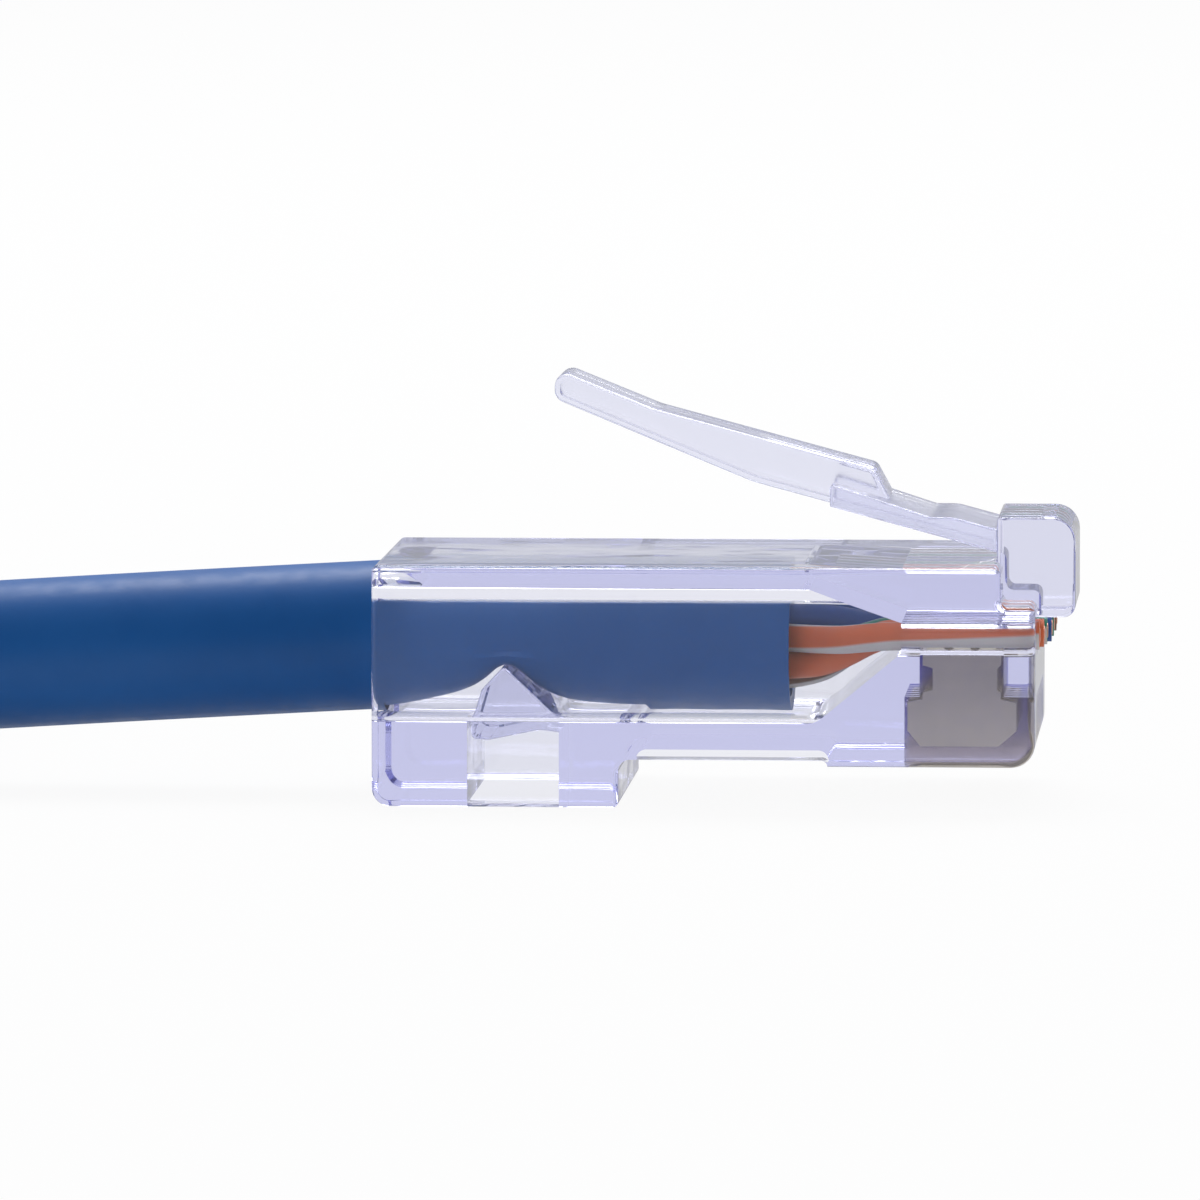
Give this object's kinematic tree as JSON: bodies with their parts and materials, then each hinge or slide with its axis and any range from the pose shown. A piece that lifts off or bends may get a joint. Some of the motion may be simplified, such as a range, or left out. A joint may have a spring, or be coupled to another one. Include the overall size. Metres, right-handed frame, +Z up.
{
  "type": "rj45 modular plug",
  "caption": "Clear modular plug crimped on a round blue data cable, with a springy locking latch and blade contacts; short coiled lead to a like plug.",
  "frame": {"origin": "centre of the near plug's bounding box, at the bottom of its rear ledge, which is the surface it rests on", "axes": "+X towards the plug's nose, +Y across the plug, +Z up towards the latch"},
  "size_m": [0.1103, 0.0613, 0.0144],
  "materials": {
    "clear_body": "clear moulded polycarbonate with a faint violet cast",
    "jacket": "soft satin PVC jacket, blue",
    "contact": "plated phosphor bronze, satin",
    "tie": "woven hook-and-loop strap, black",
    "wire_white_orange": "polyethylene insulation",
    "wire_orange": "polyethylene insulation",
    "wire_white_green": "polyethylene insulation",
    "wire_blue": "polyethylene insulation",
    "wire_white_blue": "polyethylene insulation",
    "wire_green": "polyethylene insulation",
    "wire_white_brown": "polyethylene insulation",
    "wire_brown": "polyethylene insulation"
  },
  "bodies": {
    "root": {"housing": "clear_body", "jacket_end": "jacket", "contact_1": "contact", "contact_2": "contact", "contact_3": "contact", "contact_4": "contact", "contact_5": "contact", "contact_6": "contact", "contact_7": "contact", "contact_8": "contact", "wire_1": "wire_white_orange", "wire_2": "wire_orange", "wire_3": "wire_white_green", "wire_4": "wire_blue", "wire_5": "wire_white_blue", "wire_6": "wire_green", "wire_7": "wire_white_brown", "wire_8": "wire_brown", "far_housing": "clear_body", "far_jacket_end": "jacket", "far_contact_1": "contact", "far_contact_2": "contact", "far_contact_3": "contact", "far_contact_4": "contact", "far_contact_5": "contact", "far_contact_6": "contact", "far_contact_7": "contact", "far_contact_8": "contact", "far_wire_1": "wire_white_orange", "far_wire_2": "wire_orange", "far_wire_3": "wire_white_green", "far_wire_4": "wire_blue", "far_wire_5": "wire_white_blue", "far_wire_6": "wire_green", "far_wire_7": "wire_white_brown", "far_wire_8": "wire_brown", "cord_lead": "jacket", "cord_coil": "jacket", "cord_tail": "jacket", "coil_tie": "tie"},
    "latch": {"latch": "clear_body"},
    "far_latch": {"far_latch": "clear_body"}
  },
  "joints": [
    {"name": "latch_press", "type": "hinge", "parent": "root", "child": "latch", "pos_m": [0.00885, 0, 0.00874], "axis": [0, -1, 0], "range_deg": [0, 13], "stiffness_Nm_per_rad": 0.02},
    {"name": "far_latch_press", "type": "hinge", "parent": "root", "child": "far_latch", "pos_m": [-0.0929, 0.05085, 0.00874], "axis": [1, 0, 0], "range_deg": [0, 13], "stiffness_Nm_per_rad": 0.02}
  ]
}
